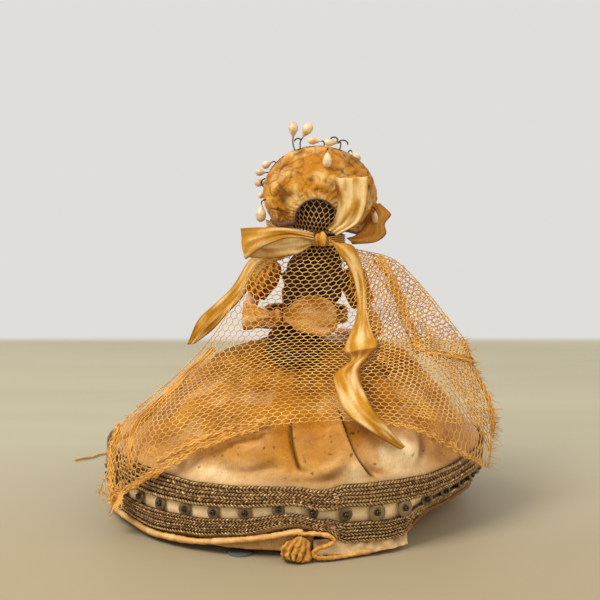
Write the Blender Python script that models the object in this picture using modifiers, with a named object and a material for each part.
"""Dressed half-doll pin cushion.

A stuffed satin skirt on a card base is the cushion. It carries a small wire-strung doll in a silk
bonnet with wax buds, a net veil tied at the nape with a ribbon bow, and metal braid round the rim.
+Z is up and the origin is the centre of the underside. The doll faces +Y and its back faces -Y.
All lengths below are in millimetres and are turned into metres when a mesh is made.
"""

import math

import bmesh
import bpy
import numpy as np
from mathutils import Matrix, Vector

OBJECT_NAME = "half_doll_pin_cushion"
MM = 0.001
GAP = 0.35

# Base
LINING_RADIUS = 48.0
LINING_THICKNESS = 0.6
CARD_RADIUS = 50.0
BASE_X = -5.0
CARD_BOTTOM = 0.95
CARD_THICKNESS = 1.4
PAD_RADIUS = 4.0
PAD_CENTRE = (-17.5, -61.2)

# Cushion. Azimuth 0 is the back of the doll (-Y) and grows towards +X, in degrees.
RIM_RADIUS = 66.8
SATIN_THICKNESS = 0.7
CASE_INSET = 1.3
CASE_THICKNESS = 0.5
STUFFING_INSET = 2.3
RIM_SEGMENTS = 40
CASE_SEGMENTS = 20
BRAID_THICKNESS = 1.1
BRAID_STAND_OFF = 0.65
ROLL_RADIUS = 1.4
# azimuth, hem roll, lower braid bottom and top, upper braid bottom and top (heights), inward tuck
RIM_KEYS = (
    (-180, 2.2, 4.2, 11.0, 15.0, 22.6, 0.0),
    (-150, 2.4, 4.4, 11.2, 15.2, 22.8, 0.0),
    (-120, 2.1, 4.1, 11.0, 15.0, 23.0, 0.0),
    (-90, 2.4, 4.4, 11.4, 15.9, 24.6, 0.0),
    (-60, 4.3, 6.3, 12.0, 16.0, 24.8, 0.0),
    (-43, 2.9, 4.7, 11.5, 15.6, 24.4, 0.0),
    (-27, 3.8, 5.8, 11.7, 15.4, 23.0, 0.0),
    (-15, 5.7, 7.8, 13.0, 16.3, 23.3, 0.0),
    (-1, 9.3, 11.8, 15.3, 17.6, 23.5, 0.0),
    (8, 8.0, 9.9, 13.4, 15.8, 22.5, 0.0),
    (14, 2.4, 4.9, 11.8, 16.6, 23.8, 0.0),
    (26, 2.4, 4.5, 11.3, 16.3, 23.7, 0.0),
    (36, 7.0, 9.6, 13.6, 16.2, 23.5, 4.0),
    (46, 9.0, 11.5, 14.6, 16.8, 24.2, 6.0),
    (62, 9.5, 12.0, 15.2, 17.6, 25.8, 6.0),
    (90, 8.0, 10.5, 14.6, 18.0, 25.4, 4.0),
    (120, 4.6, 6.9, 12.2, 16.0, 23.6, 1.0),
    (150, 2.4, 4.4, 11.0, 15.0, 22.8, 0.0),
    (180, 2.2, 4.2, 11.0, 15.0, 22.6, 0.0),
)
# height, then the radius towards the back of the doll, +X, the front of the doll and -X
DOME_KEYS = (
    (30.0, 64.8, 60.5, 64.0, 58.8),
    (37.0, 61.0, 54.8, 60.0, 51.0),
    (41.5, 57.0, 51.0, 56.0, 45.5),
    (46.0, 50.0, 46.5, 50.0, 39.5),
    (51.0, 40.0, 41.5, 41.0, 33.0),
    (54.0, 30.0, 37.0, 31.0, 28.0),
    (56.2, 20.0, 30.0, 20.0, 20.0),
    (60.0, 10.8, 10.8, 10.8, 10.8),
)
WAIST_X = 3.0
SPANGLE_COUNT = 40
SPANGLE_PHASE = 4.5
SPANGLE_RADIUS = 1.9
BEAD_RADIUS = 0.8
THREAD_RADIUS = 0.25
BEAD_SIDES = 5

# Doll. Its frame stands at the waist and leans towards +X.
WAIST = (3.0, 0.0, 56.0)
LEAN_DEG = 5.5
PEG_RADIUS = 2.2
PEG_HEIGHTS = (30.0, 64.0)
SHOULDER_HALF_WIDTH = 15.0
SHOULDER_HEIGHT = 26.0
ARM_WIRE_RADIUS = 0.5
ARM_BORE_RADIUS = 0.9
# height, half width, half depth of the torso above the waist
TORSO_KEYS = (
    (1.5, 7.0, 5.8), (6.0, 6.6, 5.6), (12.0, 7.6, 6.4), (18.0, 8.8, 7.0), (24.0, 9.0, 6.4),
    (28.5, 7.8, 5.4), (31.0, 4.8, 4.2), (33.0, 3.5, 3.5), (41.2, 3.2, 3.2),
)
HEAD_CENTRE = (0.0, 1.5, 54.6)
HEAD_RADII = (10.5, 11.0, 12.8)
WIG_CENTRE = (0.4, -1.0, 54.3)
WIG_RADII = (14.0, 12.5, 15.0)
HOOD_RADII = (14.6, 12.95, 15.5)
BONNET_CENTRE = (0.4, -0.5, 55.3)
BONNET_RADII = (20.0, 15.5, 17.0)
BONNET_WALL = 1.2
NAPE_CENTRE = (-0.4, 47.6)
NAPE_RADIUS = 7.2

# Veil: ribs from the gather at the nape down to the hem, from the left edge to the right fold
VEIL_THICKNESS = 0.3
VEIL_RIBS = (
    ((3.5, -13.2, 94.3), (-11.5, -13.5, 89.0), (-19.0, -14.0, 78.5), (-28.8, -14.5, 63.0),
     (-41.2, -15.0, 49.5), (-52.3, -18.0, 40.3), (-61.5, -25.0, 31.5), (-63.8, -30.0, 20.0),
     (-62.5, -32.0, 8.5)),
    ((5.5, -13.8, 94.2), (-5.0, -17.0, 86.5), (-11.0, -20.5, 76.0), (-16.5, -24.0, 64.5),
     (-24.0, -31.0, 54.5), (-33.0, -41.5, 48.0), (-42.5, -48.5, 39.0), (-48.5, -51.0, 29.5),
     (-48.8, -51.2, 22.0)),
    ((7.0, -13.9, 94.2), (1.0, -17.8, 86.2), (-3.5, -21.3, 75.7), (-7.5, -25.0, 65.0),
     (-12.0, -33.5, 58.3), (-16.5, -43.0, 52.5), (-21.0, -51.5, 46.5), (-22.8, -56.5, 41.5),
     (-23.5, -59.5, 37.2)),
    ((8.5, -14.0, 94.2), (7.0, -18.3, 86.0), (4.0, -21.8, 75.5), (2.0, -25.0, 65.8),
     (0.5, -33.0, 60.0), (0.0, -42.0, 55.2), (0.5, -50.0, 50.5), (1.2, -56.0, 46.2),
     (1.5, -60.0, 42.2)),
    ((11.5, -13.8, 94.2), (15.5, -17.5, 87.5), (18.0, -20.0, 77.0), (20.0, -22.5, 66.5),
     (23.0, -29.5, 60.0), (26.5, -38.5, 55.5), (30.0, -46.5, 49.5), (33.0, -51.5, 44.0),
     (34.5, -53.5, 40.0)),
    ((12.6, -13.6, 94.2), (20.5, -14.5, 90.0), (27.0, -15.5, 83.0), (33.0, -17.0, 73.0),
     (38.0, -21.0, 64.5), (43.5, -28.0, 57.0), (47.5, -35.5, 50.0), (51.5, -42.0, 40.0),
     (54.0, -44.8, 29.0)),
    ((13.5, -13.2, 94.3), (24.5, -10.0, 92.0), (35.0, -8.0, 88.6), (45.8, -8.0, 78.0),
     (53.1, -9.0, 69.0), (60.0, -11.0, 60.0), (62.5, -13.0, 52.5), (69.5, -18.0, 36.0),
     (66.8, -23.5, 18.0)),
)
WING_RIBS = (
    ((24.8, -8.6, 91.4), (34.6, -6.6, 87.8), (45.2, -6.6, 77.2), (52.4, -7.4, 68.2),
     (59.2, -9.2, 59.2), (61.8, -11.2, 52.0), (68.4, -15.6, 36.2), (68.2, -18.4, 20.5)),
    ((24.0, -7.8, 90.2), (28.5, -7.5, 84.0), (36.0, -6.5, 73.0), (42.0, -6.0, 64.5),
     (47.0, -7.0, 56.5), (51.0, -9.0, 51.0), (59.5, -11.0, 39.5), (65.0, -11.5, 29.5)),
)

# Ribbons: pairs of points, one on each edge of the strip
RIBBON_THICKNESS = 0.5
NECK_RING_CENTRE = (8.0, -5.0, 96.0)
NECK_RING_RADII = (9.0, 10.0)
NECK_RING_TUBE = 1.1
KNOT_CENTRE = (8.75, -18.6, 97.0)
KNOT_RADII = (2.1, 1.9, 2.5)
RIBBON_LOOP_LEFT = (
    ((6.2, -19.2, 99.0), (6.2, -19.0, 95.3)), ((-1.9, -20.0, 100.8), (-1.9, -19.6, 93.4)),
    ((-11.5, -20.2, 101.1), (-11.0, -19.8, 91.2)), ((-19.4, -19.2, 100.8), (-17.6, -19.0, 90.5)),
    ((-19.4, -17.4, 100.4), (-17.6, -17.0, 90.6)), ((-10.0, -16.9, 97.6), (-10.0, -16.4, 90.4)),
    ((0.0, -17.2, 97.2), (0.0, -16.9, 92.0)), ((5.6, -17.6, 96.8), (5.6, -17.5, 94.8)),
)
RIBBON_LOOP_RIGHT = (
    ((10.8, -19.0, 100.4), (14.0, -18.5, 98.2)), ((13.2, -18.6, 103.7), (21.5, -17.8, 102.5)),
    ((14.4, -18.2, 109.0), (24.3, -16.8, 108.5)), ((13.4, -17.6, 117.2), (24.9, -15.4, 117.4)),
    ((13.8, -16.0, 117.0), (24.8, -13.6, 117.2)), ((15.2, -16.6, 109.0), (23.4, -14.8, 108.5)),
    ((14.4, -17.2, 103.0), (19.5, -16.2, 102.0)), ((12.6, -17.6, 100.8), (15.2, -17.2, 99.4)),
)
RIBBON_TAIL_LEFT = (
    ((-4.5, -11.0, 93.5), (-4.2, -11.2, 89.8)), ((-10.0, -11.2, 92.2), (-8.5, -11.3, 87.8)),
    ((-15.8, -11.0, 89.5), (-12.6, -11.2, 84.5)), ((-22.2, -10.8, 79.7), (-18.6, -11.2, 76.0)),
    ((-28.5, -10.5, 73.5), (-24.2, -11.0, 70.0)), ((-34.4, -10.2, 67.8), (-29.4, -10.6, 64.2)),
    ((-38.4, -9.5, 58.8), (-35.6, -9.7, 59.4)),
)
RIBBON_TAIL_RIGHT = (
    ((11.4, -19.3, 98.0), (11.4, -18.8, 94.6)), ((14.3, -20.2, 92.8), (19.3, -19.8, 95.0)),
    ((17.2, -20.3, 87.0), (23.0, -19.2, 87.6)), ((19.4, -20.9, 80.0), (24.3, -19.9, 80.0)),
    ((19.6, -23.0, 72.0), (24.2, -22.0, 72.0)), ((19.5, -25.9, 65.2), (24.5, -25.4, 65.2)),
    ((16.2, -32.0, 61.4), (27.4, -32.0, 61.2)), ((16.5, -38.5, 58.2), (25.5, -37.8, 58.2)),
    ((12.4, -46.4, 55.0), (20.5, -46.2, 54.6)), ((13.5, -53.8, 50.2), (22.5, -53.2, 49.6)),
    ((16.3, -58.6, 45.0), (25.9, -57.4, 44.4)), ((25.0, -60.0, 38.6), (31.0, -58.2, 38.4)),
    ((33.6, -56.8, 32.8), (35.0, -56.2, 33.8)),
)

# Sash
SASH_CENTRE = (3.4, -4.2, 69.0)
SASH_RADII = (14.6, 13.8)
SASH_HALF_HEIGHT = 1.8
SASH_KNOT_CENTRE = (-6.8, -18.0, 70.3)
SASH_KNOT_RADII = (1.9, 1.7, 2.2)
SASH_LOOP_LEFT = (
    ((-9.1, -18.0, 71.6), (-9.1, -17.7, 69.0)), ((-14.0, -17.2, 74.0), (-14.0, -16.9, 65.8)),
    ((-18.0, -15.0, 75.2), (-18.4, -14.9, 64.8)),
)
SASH_LOOP_RIGHT = (
    ((-4.4, -18.9, 71.8), (-4.4, -18.9, 69.0)), ((1.5, -20.1, 76.8), (1.5, -20.1, 65.2)),
    ((7.5, -20.3, 77.0), (7.5, -20.3, 64.6)), ((12.0, -19.9, 75.6), (11.8, -19.9, 64.8)),
)

# Bonnet trimmings
RUFFLE_LEFT = (
    ((-11.0, -1.4, 102.6), (-10.8, -1.8, 99.4)), ((-6.0, -6.0, 101.2), (-6.0, -6.4, 98.8)),
    ((-1.2, -9.2, 100.8), (-1.2, -9.6, 98.7)),
)
LEAF_RIGHT = (
    ((30.2, -3.4, 107.8), (31.0, -1.0, 107.2)), ((32.6, -4.0, 104.3), (31.6, 0.5, 103.5)),
    ((31.4, -4.6, 99.4), (29.0, -0.5, 98.0)), ((28.4, -5.4, 95.2), (25.0, -3.2, 97.4)),
    ((22.0, -7.4, 94.6), (21.4, -6.0, 97.0)),
)
# name, base of the bud, direction it points, length, diameter, stem length
BUDS = (
    ("wax_bud_01", (-1.0, 5.5, 131.2), (0.05, 0.0, 1.0), 6.0, 3.5, 1.6),
    ("wax_bud_02", (2.4, 5.5, 131.4), (0.5, 0.0, 0.86), 6.0, 3.6, 1.5),
    ("wax_bud_03", (9.2, 3.0, 130.2), (-1.0, 0.0, 0.03), 5.0, 2.6, 0.6),
    ("wax_bud_04", (15.4, 2.8, 129.7), (-1.0, 0.0, 0.05), 5.2, 2.6, 0.6),
    ("wax_bud_05", (11.0, -13.6, 127.2), (-0.03, -0.05, -1.0), 6.1, 3.1, 0.8),
    ("wax_bud_06", (20.4, 13.6, 126.4), (0.6, 0.0, -0.7), 4.6, 3.0, 0.6),
    ("wax_bud_07", (-8.6, 13.6, 122.6), (-0.8, 0.0, -0.4), 4.2, 2.9, 0.5),
    ("wax_bud_08", (-10.8, 13.6, 118.8), (-1.0, 0.0, 0.0), 4.0, 2.7, 0.5),
    ("wax_bud_09", (-11.0, 13.6, 114.8), (-0.9, 0.0, 0.1), 4.2, 2.9, 0.5),
    ("wax_bud_10", (-12.0, -5.4, 108.4), (-0.02, 0.0, -1.0), 6.5, 3.6, 0.8),
    ("wax_bud_11", (27.8, -7.0, 106.2), (0.02, 0.0, -1.0), 4.5, 2.3, 0.6),
    ("bonnet_bead", (-11.0, 13.6, 111.2), (-0.8, 0.0, -0.3), 3.2, 2.4, 0.5),
)

# Loose end of the veil's picot edging, from the rim down to the surface the cushion stands on
STRING_RADIUS = 0.55
STRING_ROUTE = (
    (-57.2, 41.0, 20.0), (-60.2, 44.0, 19.0), (-62.0, 46.8, 14.5), (-62.8, 49.0, 8.5),
    (-63.8, 51.6, 3.2), (-66.2, 54.8, 0.9), (-70.0, 58.6, 0.7), (-74.2, 62.0, 0.7),
    (-78.6, 63.2, 0.7), (-82.0, 60.8, 0.7), (-84.2, 56.8, 0.7), (-87.6, 54.6, 0.7),
    (-90.6, 52.2, 0.7),
)


def reset():
    """Empties the scene and returns the collections for the parts and for the cutters."""
    for obj in list(bpy.data.objects):
        bpy.data.objects.remove(obj, do_unlink=True)
    made = []
    for name in (OBJECT_NAME, "cutters"):
        collection = bpy.data.collections.new(name)
        bpy.context.scene.collection.children.link(collection)
        made.append(collection)
    return made


PARTS, CUTTERS = reset()


# ---- materials -----------------------------------------------------------------------------

def material(name, colour, roughness, metallic=0.0):
    made = bpy.data.materials.new(name)
    made.use_nodes = True
    shader = made.node_tree.nodes["Principled BSDF"]
    shader.inputs["Base Color"].default_value = (*colour, 1.0)
    shader.inputs["Roughness"].default_value = roughness
    shader.inputs["Metallic"].default_value = metallic
    return made


SATIN = material("gold_satin", (0.73, 0.40, 0.13), 0.35)
SILK = material("amber_silk", (0.75, 0.35, 0.09), 0.55)
RIBBON = material("satin_ribbon", (0.62, 0.35, 0.09), 0.4)
NET = material("silk_net", (0.70, 0.38, 0.12), 0.7)
BRAID = material("tarnished_braid", (0.14, 0.09, 0.05), 0.5, 0.6)
GELATIN = material("spangle", (0.30, 0.19, 0.09), 0.25, 0.3)
BEAD = material("dark_bead", (0.05, 0.03, 0.02), 0.2)
WAX = material("wax", (0.78, 0.63, 0.40), 0.45)
WIRE = material("wire", (0.20, 0.13, 0.08), 0.45, 0.8)
BISQUE = material("bisque", (0.80, 0.47, 0.36), 0.6)
HAIR = material("hair", (0.02, 0.008, 0.006), 0.5)
CARD = material("card", (0.45, 0.36, 0.25), 0.9)
COTTON = material("cotton", (0.75, 0.70, 0.60), 0.9)
SAWDUST = material("stuffing", (0.50, 0.36, 0.20), 1.0)
WOOD = material("peg_wood", (0.42, 0.26, 0.13), 0.7)
PAPER = material("white_paper", (0.85, 0.85, 0.83), 0.8)


# ---- shape tools ---------------------------------------------------------------------------

def metres(point):
    return Vector(point) * MM


def add(name, data, look, parent=None, collection=None):
    """Links a new object with this mesh or curve, and gives it its material and its parent."""
    obj = bpy.data.objects.new(name, data)
    (collection or PARTS).objects.link(obj)
    if look:
        data.materials.append(look)
    obj.parent = parent
    return obj


def mesh_from(name, vertices, faces):
    data = bpy.data.meshes.new(name)
    data.from_pydata([metres(v) for v in vertices], [], faces)
    bm = bmesh.new()
    bm.from_mesh(data)
    bmesh.ops.recalc_face_normals(bm, faces=bm.faces)
    bm.to_mesh(data)
    bm.free()
    data.shade_smooth()
    data.set_sharp_from_angle(angle=math.radians(50))
    return data


def smooth_path(points, per_span):
    """Catmull-Rom points through a list of points, with per_span steps between each pair."""
    p = np.array(points, float)
    ends = np.vstack([2 * p[0] - p[1], p, 2 * p[-1] - p[-2]])
    out = []
    for i in range(len(p) - 1):
        a, b, c, d = ends[i:i + 4]
        for t in np.arange(per_span) / per_span:
            out.append(0.5 * (2 * b + (c - a) * t + (2 * a - 5 * b + 4 * c - d) * t ** 2
                              + (3 * b - a - 3 * c + d) * t ** 3))
    out.append(p[-1])
    return np.array(out)


def smooth_grid(ribs, per_rib, per_row):
    """A finer grid of points through ribs of equal length: rows run along the ribs."""
    along = np.array([smooth_path(rib, per_row) for rib in ribs])
    return [smooth_path(along[:, i], per_rib) for i in range(along.shape[1])]


def grid_faces(rows, columns, closed):
    last = columns if closed else columns - 1
    return [
        (i * columns + j, i * columns + (j + 1) % columns,
         (i + 1) * columns + (j + 1) % columns, (i + 1) * columns + j)
        for i in range(rows - 1) for j in range(last)
    ]


def sheet(name, rows, thickness, look, closed=False, offset=0.0, parent=None):
    """An open surface through rows of points, given its thickness by Solidify."""
    rows = np.array(rows, float)
    data = mesh_from(name, rows.reshape(-1, 3), grid_faces(len(rows), rows.shape[1], closed))
    obj = add(name, data, look, parent)
    solid = obj.modifiers.new("thickness", "SOLIDIFY")
    solid.thickness = thickness * MM
    solid.offset = offset
    return obj


def strip(name, pairs, look, thickness=RIBBON_THICKNESS, per_span=3):
    """A ribbon between two smooth edges."""
    edges = [smooth_path([pair[k] for pair in pairs], per_span) for k in (0, 1)]
    middle = (edges[0] + edges[1]) / 2
    return sheet(name, [edges[0], middle, edges[1]], thickness, look)


def loft(name, rings, look, parent=None):
    """A closed solid through rings of points, with flat ends."""
    rings = np.array(rings, float)
    count, around = len(rings), rings.shape[1]
    faces = grid_faces(count, around, True)
    faces.append(tuple(range(around)))
    faces.append(tuple((count - 1) * around + j for j in range(around)))
    return add(name, mesh_from(name, rings.reshape(-1, 3), faces), look, parent)


def ellipse(centre, radii, steps, height=0.0):
    """Points round an upright ellipse's plan, starting at -Y and turning towards +X."""
    angles = np.arange(steps) * 2 * math.pi / steps
    return np.array([
        (centre[0] + radii[0] * math.sin(a), centre[1] - radii[1] * math.cos(a), height)
        for a in angles
    ])


def sweep_rings(points, widths, depths, sides, sideways=(1.0, 0.0, 0.0)):
    """Elliptical rings square to a path: widths lie near the sideways direction."""
    points = np.array(points, float)
    rings = []
    for i, point in enumerate(points):
        ahead = Vector(points[min(i + 1, len(points) - 1)] - points[max(i - 1, 0)]).normalized()
        deep = ahead.cross(Vector(sideways)).normalized()
        wide = deep.cross(ahead)
        rings.append([
            Vector(point) + wide * widths[i] * math.cos(a) + deep * depths[i] * math.sin(a)
            for a in np.arange(sides) * 2 * math.pi / sides
        ])
    return rings


def tube(name, points, radius, look, closed=False, parent=None):
    """A round bar along a path, as a bevelled curve."""
    data = bpy.data.curves.new(name, "CURVE")
    data.dimensions = "3D"
    data.bevel_depth = radius * MM
    data.bevel_resolution = 2
    data.use_fill_caps = not closed
    spline = data.splines.new("POLY")
    spline.points.add(len(points) - 1)
    for target, point in zip(spline.points, points):
        target.co = (*metres(point), 1.0)
    spline.use_cyclic_u = closed
    return add(name, data, look, parent)


def turned(name, profile, steps, look, matrix=None, parent=None):
    """A solid of revolution about Z: the profile runs down its outer side at +X."""
    data = bpy.data.meshes.new(name)
    edges = [(i, i + 1) for i in range(len(profile) - 1)]
    data.from_pydata([metres((r, 0.0, z)) for r, z in profile], edges, [])
    obj = add(name, data, look, parent)
    screw = obj.modifiers.new("turn", "SCREW")
    screw.steps = steps
    screw.render_steps = steps
    screw.use_merge_vertices = True
    screw.merge_threshold = 0.00001
    if matrix is not None:
        obj.matrix_local = matrix
    return obj


def ellipsoid(name, centre, radii, look, segments=20, rings=12, parent=None, collection=None):
    data = bpy.data.meshes.new(name)
    bm = bmesh.new()
    bmesh.ops.create_uvsphere(bm, u_segments=segments, v_segments=rings, radius=1.0)
    bmesh.ops.scale(bm, vec=metres(radii), verts=bm.verts)
    bmesh.ops.translate(bm, vec=metres(centre), verts=bm.verts)
    bm.to_mesh(data)
    bm.free()
    data.shade_smooth()
    return add(name, data, look, parent, collection)


def block(name, low, high, parent=None):
    """A box-shaped cutter between two corners."""
    low, high = metres(low), metres(high)
    data = bpy.data.meshes.new(name)
    bm = bmesh.new()
    bmesh.ops.create_cube(bm, size=1.0)
    bmesh.ops.scale(bm, vec=high - low, verts=bm.verts)
    bmesh.ops.translate(bm, vec=(low + high) / 2, verts=bm.verts)
    bm.to_mesh(data)
    bm.free()
    return add(name, data, None, parent, CUTTERS)


def rod_cutter(name, radius, length, centre, axis, parent=None):
    """A cylinder-shaped cutter along X, Y or Z."""
    data = bpy.data.meshes.new(name)
    bm = bmesh.new()
    bmesh.ops.create_cone(bm, cap_ends=True, segments=24, radius1=radius * MM,
                          radius2=radius * MM, depth=length * MM)
    turn = {"X": Matrix.Rotation(math.pi / 2, 4, "Y"), "Y": Matrix.Rotation(math.pi / 2, 4, "X"),
            "Z": Matrix.Identity(4)}[axis]
    bmesh.ops.transform(bm, matrix=Matrix.Translation(metres(centre)) @ turn, verts=bm.verts)
    bm.to_mesh(data)
    bm.free()
    return add(name, data, None, parent, CUTTERS)


def cut(obj, cutter):
    cutter.hide_render = True
    cutter.display_type = "WIRE"
    modifier = obj.modifiers.new("cut_" + cutter.name, "BOOLEAN")
    modifier.operation = "DIFFERENCE"
    modifier.object = cutter


# ---- the rim and the dome of the cushion -----------------------------------------------------

def rim_at(azimuth):
    """Heights and tuck of the rim at an azimuth, eased between the keys."""
    keys = np.array(RIM_KEYS)
    azimuth = (azimuth + 180.0) % 360.0 - 180.0
    i = int(np.clip(np.searchsorted(keys[:, 0], azimuth, "right") - 1, 0, len(keys) - 2))
    t = (azimuth - keys[i, 0]) / (keys[i + 1, 0] - keys[i, 0])
    t = t * t * (3 - 2 * t)
    return keys[i, 1:] * (1 - t) + keys[i + 1, 1:] * t


def ring_point(azimuth, radius, height, centre_x=0.0):
    a = math.radians(azimuth)
    return (centre_x + radius * math.sin(a), -radius * math.cos(a), height)


def dome_radius(key, azimuth):
    """Blends the four quarter radii of a dome key round the plan."""
    back, right, front, left = key[1:]
    a = math.radians(azimuth)
    return ((back + right + front + left) / 4 + (back - front) / 2 * math.cos(a)
            + (right - left) / 2 * math.sin(a)
            + (back + front - right - left) / 4 * math.cos(2 * a))


def cushion_column(azimuth, reach=0.0):
    """The satin's outer points at an azimuth, from under the base up to the waist.

    An inner layer has a reach: it tucks in as far as the satin does that many degrees away.
    """
    hem, low_0, low_1, up_0, up_1, tuck = rim_at(azimuth)
    if reach:
        tuck = max(rim_at(azimuth + turn)[-1] for turn in (-reach, 0.0, reach))
    column = [
        ring_point(azimuth, CARD_RADIUS + 1.6, 1.4, BASE_X),
        ring_point(azimuth, RIM_RADIUS - 2.4 - tuck, max(hem - 0.2, 1.9)),
        ring_point(azimuth, RIM_RADIUS - 0.6 - 0.8 * tuck, low_0),
        ring_point(azimuth, RIM_RADIUS - 0.5 * tuck, low_1),
        ring_point(azimuth, RIM_RADIUS - 0.2 * tuck, up_0),
        ring_point(azimuth, RIM_RADIUS - 0.5, up_1),
    ]
    for key in DOME_KEYS:
        rise = (key[0] - DOME_KEYS[0][0]) / (DOME_KEYS[-1][0] - DOME_KEYS[0][0])
        column.append(ring_point(azimuth, dome_radius(key, azimuth), key[0], WAIST_X * rise))
    return column


def cushion_rings(segments, inset=0.0):
    """Rings of the satin's outer surface, moved inwards along its normals by the inset."""
    step = 360.0 / segments
    reach = step / 2 if inset else 0.0
    columns = [cushion_column(i * step, reach) for i in range(segments)]
    rings = np.array(columns).transpose(1, 0, 2)
    if not inset:
        return rings
    along = np.gradient(rings, axis=0)
    around = np.roll(rings, -1, axis=1) - np.roll(rings, 1, axis=1)
    normal = np.cross(around, along)
    normal /= np.linalg.norm(normal, axis=2, keepdims=True)
    return rings - normal * inset


def off_satin(azimuth, index, share, stand_off):
    """A point square off the satin, at a share of the way from one of its rings to the next."""
    low, high = (np.array(p) for p in cushion_column(azimuth)[index:index + 2])
    out = np.array(ring_point(azimuth, 1.0, 0.0))
    rise, run = high[2] - low[2], float((high - low) @ out)
    square = out * rise - np.array((0.0, 0.0, run))
    return low * (1 - share) + high * share + square / np.linalg.norm(square) * stand_off


def band(name, index, look):
    """A braid ring that stands just off the satin between two of its rings."""
    step = 360.0 / RIM_SEGMENTS
    rows = [
        [off_satin(i * step, index, share, BRAID_STAND_OFF + BRAID_THICKNESS / 2)
         for i in range(RIM_SEGMENTS)]
        for share in (0.03, 0.5, 0.97)
    ]
    return sheet(name, rows, BRAID_THICKNESS, look, closed=True)


def row_room(azimuth):
    """The height between the two braids."""
    column = cushion_column(azimuth)
    return column[4][2] - column[3][2]


# ---- cushion pieces --------------------------------------------------------------------------

def disc(name, radius, bottom, thickness, look, centre=(0.0, 0.0), steps=32):
    top = bottom + thickness
    profile = [(0.0, top), (radius, top), (radius, bottom), (0.0, bottom)]
    return turned(name, profile, steps, look, Matrix.Translation(metres((*centre, 0.0))))


def make_base():
    disc("base_lining", LINING_RADIUS, 0.0, LINING_THICKNESS, COTTON, (BASE_X, 0.0))
    disc("base_card", CARD_RADIUS, CARD_BOTTOM, CARD_THICKNESS, CARD, (BASE_X, 0.0))
    disc("white_pad", PAD_RADIUS, 0.0, 0.8, PAPER, PAD_CENTRE, 20)


def make_cushion():
    satin = sheet("skirt_satin", cushion_rings(RIM_SEGMENTS), SATIN_THICKNESS, SATIN,
                  closed=True, offset=-1.0)
    satin.modifiers["thickness"].use_even_offset = True
    case_rings = cushion_rings(CASE_SEGMENTS, CASE_INSET)[2:-1]
    sheet("muslin_case", case_rings, CASE_THICKNESS, COTTON, closed=True, offset=-1.0)
    foot = CARD_BOTTOM + CARD_THICKNESS + GAP
    rings = cushion_rings(CASE_SEGMENTS, STUFFING_INSET)[1:-2]
    bottom = [ring_point(i * 360.0 / CASE_SEGMENTS, CARD_RADIUS - 4.0, foot, BASE_X)
              for i in range(CASE_SEGMENTS)]
    stuffing = loft("stuffing", [bottom, *rings], SAWDUST)
    bore = rod_cutter("peg_bore", PEG_RADIUS + GAP, 62.0, (WAIST_X, 0.0, 60.0), "Z")
    cut(stuffing, bore)


def make_braids():
    band("lower_braid", 2, BRAID)
    band("upper_braid", 4, BRAID)


def make_spangles():
    """Spangles on a thread: a chain as one band whose height swells at each spangle."""
    samples = (-1.0, 0.0, 1.0)
    rows = [[], [], []]
    for i in range(SPANGLE_COUNT):
        middle = SPANGLE_PHASE + i * 360.0 / SPANGLE_COUNT
        for t in samples:
            azimuth = middle + math.degrees(SPANGLE_RADIUS * t / RIM_RADIUS)
            centre = off_satin(azimuth, 3, 0.5, 0.9)
            half = max(SPANGLE_RADIUS * math.sqrt(1 - t * t), THREAD_RADIUS)
            half = min(half, row_room(azimuth) / 2 - 0.3)
            for row, side in zip(rows, (-1, 0, 1)):
                row.append(centre + np.array((0.0, 0.0, side * half)))
    sheet("spangle_row", rows, 0.4, GELATIN, closed=True)


def make_beads():
    """Beads on the same thread: a thin ring whose section swells at each bead."""
    samples = (-1.0, 0.0, 1.0)
    rings = []
    for i in range(SPANGLE_COUNT):
        middle = SPANGLE_PHASE + i * 360.0 / SPANGLE_COUNT
        for t in samples:
            azimuth = middle + math.degrees(BEAD_RADIUS * t / RIM_RADIUS)
            centre = off_satin(azimuth, 3, 0.5, 1.5 + BEAD_RADIUS)
            radius = max(BEAD_RADIUS * math.sqrt(1 - t * t), THREAD_RADIUS)
            out = np.array(ring_point(azimuth, 1.0, 0.0))
            rings.append([
                centre + out * radius * math.cos(a) + np.array((0.0, 0.0, radius * math.sin(a)))
                for a in np.arange(BEAD_SIDES) * 2 * math.pi / BEAD_SIDES
            ])
    data = mesh_from("bead_row", np.array(rings).reshape(-1, 3), ring_of_rings(len(rings), BEAD_SIDES))
    add("bead_row", data, BEAD)


def ring_of_rings(count, around):
    return [
        (i * around + j, i * around + (j + 1) % around,
         (i + 1) % count * around + (j + 1) % around, (i + 1) % count * around + j)
        for i in range(count) for j in range(around)
    ]


def make_hem():
    """The rolled hem: a loop round the rim with an S fold at the back of the doll."""
    fold = (
        (3.0, 67.8, 9.0), (7.0, 69.8, 9.2), (11.0, 70.2, 8.6), (12.4, 70.2, 6.9),
        (10.4, 70.2, 5.3), (7.6, 70.2, 4.4), (6.4, 70.2, 3.0), (7.8, 70.2, 1.8),
        (11.5, 70.2, 1.7), (17.0, 69.2, 1.9),
    )
    points = [ring_point(*key) for key in fold]
    for azimuth in range(27, 360, 9):
        hem, _, _, _, _, tuck = rim_at(azimuth)
        points.append(ring_point(azimuth, RIM_RADIUS + 0.4 - tuck, hem - 0.3))
    tube("hem_roll", points, ROLL_RADIUS, SATIN, closed=True)
    tuft = sweep_rings(
        ((2.2, -68.9, 4.7), (1.4, -69.4, 3.9), (0.4, -70.1, 2.9), (-0.4, -71.0, 1.6)),
        (3.6, 3.0, 4.6, 3.4), (1.2, 1.4, 1.6, 1.1), 10,
    )
    loft("hem_tuft", tuft, SATIN)


# ---- doll ------------------------------------------------------------------------------------

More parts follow.
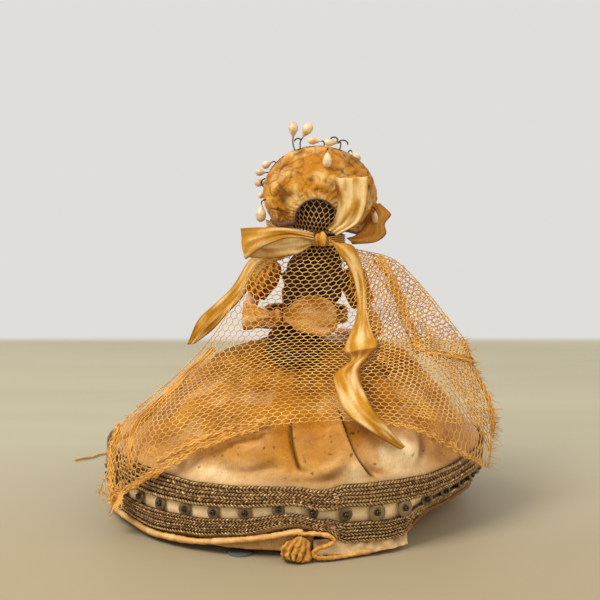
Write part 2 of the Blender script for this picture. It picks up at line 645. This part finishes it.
def empty(name, location, parent=None, rotation=(0.0, 0.0, 0.0)):
    made = bpy.data.objects.new(name, None)
    PARTS.objects.link(made)
    made.parent = parent
    made.location = metres(location)
    made.rotation_euler = rotation
    return made


DOLL = empty("doll_frame", WAIST, None, (0.0, math.radians(LEAN_DEG), 0.0))


def make_body():
    rings = [ellipse((0.0, 0.0), (a, b), 16, z) for z, a, b in TORSO_KEYS]
    torso = loft("torso", rings, BISQUE, DOLL)
    cut(torso, rod_cutter("shoulder_bore", ARM_BORE_RADIUS, 60.0, (0.0, 0.0, SHOULDER_HEIGHT),
                          "X", DOLL))
    cut(torso, rod_cutter("waist_bore", PEG_RADIUS + 0.9, 30.0, (0.0, 0.0, 0.0), "Z", DOLL))
    low, high = PEG_HEIGHTS
    turned("waist_peg", [(0.0, high), (PEG_RADIUS, high), (PEG_RADIUS, low), (0.0, low)], 16,
           WOOD, Matrix.Translation(metres((WAIST_X, 0.0, 0.0))))
    ellipsoid("head", HEAD_CENTRE, HEAD_RADII, BISQUE, 20, 12, DOLL)
    reach = SHOULDER_HALF_WIDTH + 1.6
    tube("arm_wire", [(x, 0.0, SHOULDER_HEIGHT) for x in (-reach, 0.0, reach)],
         ARM_WIRE_RADIUS, WIRE, parent=DOLL)
    bodice = [ellipse((0.0, 0.0), (a + 0.5, b + 0.5), 24, z) for z, a, b in TORSO_KEYS[1:4]]
    bodice.append(ellipse((0.0, 0.0), (9.5, 7.4), 24, 21.0))
    sheet("bodice", bodice, 0.7, SILK, closed=True, offset=1.0, parent=DOLL)


def make_arm(side, name, elbow_x, hand_x):
    """An arm hung on the shoulder wire, with its sleeve. side is +1 towards +X."""
    pivot = empty(name + "_shoulder", (side * SHOULDER_HALF_WIDTH, 0.0, SHOULDER_HEIGHT), DOLL)
    path = (
        (0.0, 0.0, 2.9), (0.0, 0.0, 1.2), (side * 0.6, 0.2, -2.0), (side * 4.5, 1.0, -8.0),
        (side * elbow_x, 2.0, -16.6), (side * (elbow_x - 2.6), 8.5, -19.6),
        (side * (hand_x + 4.0), 18.0, -21.6), (side * hand_x, 22.8, -22.4),
        (side * (hand_x - 2.4), 26.4, -22.8),
    )
    widths = (1.4, 2.9, 3.0, 2.7, 2.4, 2.2, 1.5, 2.0, 0.9)
    arm = loft(name + "_arm", sweep_rings(path, widths, widths, 12), BISQUE, pivot)
    sleeve_path = ((side * -0.4, 0.0, 4.4), (side * 0.2, 0.1, 2.4), (side * 1.8, 0.4, -2.6),
                   (side * 4.6, 1.0, -8.0))
    rings = sweep_rings(sleeve_path, (2.8, 4.3, 4.6, 3.9), (2.8, 4.3, 4.6, 3.9), 16)
    sleeve = sheet(name + "_sleeve", rings, 0.5, SILK, closed=True, offset=0.0, parent=pivot)
    bore = rod_cutter(name + "_arm_bore", ARM_BORE_RADIUS, 12.0, (side * -3.6, 0.0, 0.0), "X",
                      pivot)
    cut(arm, bore)
    cut(sleeve, bore)


def make_hair():
    wig = ellipsoid("wig_cap", WIG_CENTRE, WIG_RADII, HAIR, 20, 14, DOLL)
    head_room = tuple(r + 0.4 for r in HEAD_RADII)
    cut(wig, ellipsoid("head_room", HEAD_CENTRE, head_room, None, 20, 12, DOLL, CUTTERS))
    cut(wig, block("wig_face_cut", (-30.0, 5.0, 20.0), (30.0, 30.0, 90.0), DOLL))
    cut(wig, block("wig_neck_cut", (-30.0, -30.0, 20.0), (30.0, 30.0, 43.0), DOLL))
    path = ((8.5, -8.8, 96.6), (7.6, -9.8, 90.0), (6.5, -11.2, 82.0), (4.4, -12.0, 75.0),
            (3.0, -12.4, 68.6), (0.0, -16.6, 61.0), (-0.9, -25.0, 58.6), (-0.9, -32.0, 56.4))
    widths = (5.4, 9.0, 12.6, 9.6, 7.2, 10.6, 9.8, 6.0)
    depths = (2.4, 2.6, 2.6, 2.2, 2.2, 2.2, 1.6, 1.0)
    loft("hair_fall", sweep_rings(path, widths, depths, 16), HAIR)


def make_sash():
    x, y, z = SASH_CENTRE
    rows = [ellipse((x, y), SASH_RADII, 24, z + dz) for dz in (-SASH_HALF_HEIGHT, SASH_HALF_HEIGHT)]
    sheet("sash_band", rows, 0.7, SILK, closed=True)
    ellipsoid("sash_knot", SASH_KNOT_CENTRE, SASH_KNOT_RADII, SILK, 12, 8)
    strip("sash_loop_left", SASH_LOOP_LEFT, SILK, 0.8)
    strip("sash_loop_right", SASH_LOOP_RIGHT, SILK, 0.8)


# ---- bonnet ----------------------------------------------------------------------------------

def make_bonnet():
    crown = ellipsoid("bonnet_crown", BONNET_CENTRE, BONNET_RADII, SILK, 24, 14, DOLL)
    room = tuple(r - BONNET_WALL for r in BONNET_RADII)
    cut(crown, ellipsoid("bonnet_room", BONNET_CENTRE, room, None, 24, 14, DOLL, CUTTERS))
    cut(crown, block("bonnet_face_cut", (-40.0, 4.5, 20.0), (40.0, 40.0, 90.0), DOLL))
    cut(crown, block("bonnet_neck_cut", (-40.0, -40.0, 20.0), (40.0, 40.0, 46.0), DOLL))
    cut(crown, rod_cutter("nape_opening", NAPE_RADIUS, 30.0,
                          (NAPE_CENTRE[0], -18.0, NAPE_CENTRE[1]), "Y", DOLL))
    x, _, z = BONNET_CENTRE
    rows = []
    for y, wide, tall in ((5.0, 19.4, 16.4), (10.4, 20.0, 16.8)):
        rows.append([(x + wide * math.cos(a), y, z + tall * math.sin(a))
                     for a in np.radians(np.arange(-28, 209, 12))])
    sheet("bonnet_brim", rows, 0.8, SILK, parent=DOLL)
    arc = [(x + 20.2 * math.cos(a), 11.4, z + 17.0 * math.sin(a))
           for a in np.radians(np.arange(-30, 211, 15))]
    tube("brim_wire", arc, 0.5, WIRE, parent=DOLL)
    strip("bonnet_ruffle_left", RUFFLE_LEFT, SATIN, 0.8)
    strip("bonnet_leaf_right", LEAF_RIGHT, SILK, 0.8)


def make_buds():
    """Wax buds: turned drops, each with the start of its wire stem."""
    for name, base, direction, length, diameter, stem in BUDS:
        r = diameter / 2
        profile = [(0.0, length), (0.7 * r, 0.9 * length), (r, 0.62 * length),
                   (0.75 * r, 0.3 * length), (0.25, 0.0), (0.25, -stem), (0.0, -stem)]
        turn = Vector((0.0, 0.0, 1.0)).rotation_difference(Vector(direction)).to_matrix()
        turned(name, profile, 8, WAX, Matrix.Translation(metres(base)) @ turn.to_4x4())


# ---- veil, ribbons and the loose string --------------------------------------------------------

def make_veil():
    sheet("veil_back", smooth_grid(VEIL_RIBS, 2, 2), VEIL_THICKNESS, NET)
    sheet("veil_wing_right", smooth_grid(WING_RIBS, 2, 2), VEIL_THICKNESS, NET)
    x, y, z = WIG_CENTRE
    rows = []
    for height in np.linspace(42.8, 60.0, 8):
        fall = math.sqrt(1 - ((height - z) / HOOD_RADII[2]) ** 2)
        rows.append([
            (x + HOOD_RADII[0] * fall * math.sin(a), y - HOOD_RADII[1] * fall * math.cos(a), height)
            for a in np.radians(np.arange(-48, 49, 8))
        ])
    sheet("veil_hood", rows, VEIL_THICKNESS, NET, parent=DOLL)


def make_ribbons():
    x, y, z = NECK_RING_CENTRE
    ring = ellipse((x, y), NECK_RING_RADII, 20, z)
    tube("neck_ribbon", ring, NECK_RING_TUBE, RIBBON, closed=True)
    ellipsoid("ribbon_knot", KNOT_CENTRE, KNOT_RADII, RIBBON, 14, 10)
    strip("ribbon_loop_left", RIBBON_LOOP_LEFT, RIBBON)
    strip("ribbon_loop_right", RIBBON_LOOP_RIGHT, RIBBON)
    strip("ribbon_tail_left", RIBBON_TAIL_LEFT, RIBBON)
    strip("ribbon_tail_right", RIBBON_TAIL_RIGHT, RIBBON)


def make_string():
    tube("picot_string", smooth_path(STRING_ROUTE, 2), STRING_RADIUS, NET)


make_base()
make_cushion()
make_braids()
make_spangles()
make_beads()
make_hem()
make_body()
make_arm(1, "right", 10.8, -1.8)
make_arm(-1, "left", 6.2, -2.6)
make_hair()
make_sash()
make_bonnet()
make_buds()
make_veil()
make_ribbons()
make_string()
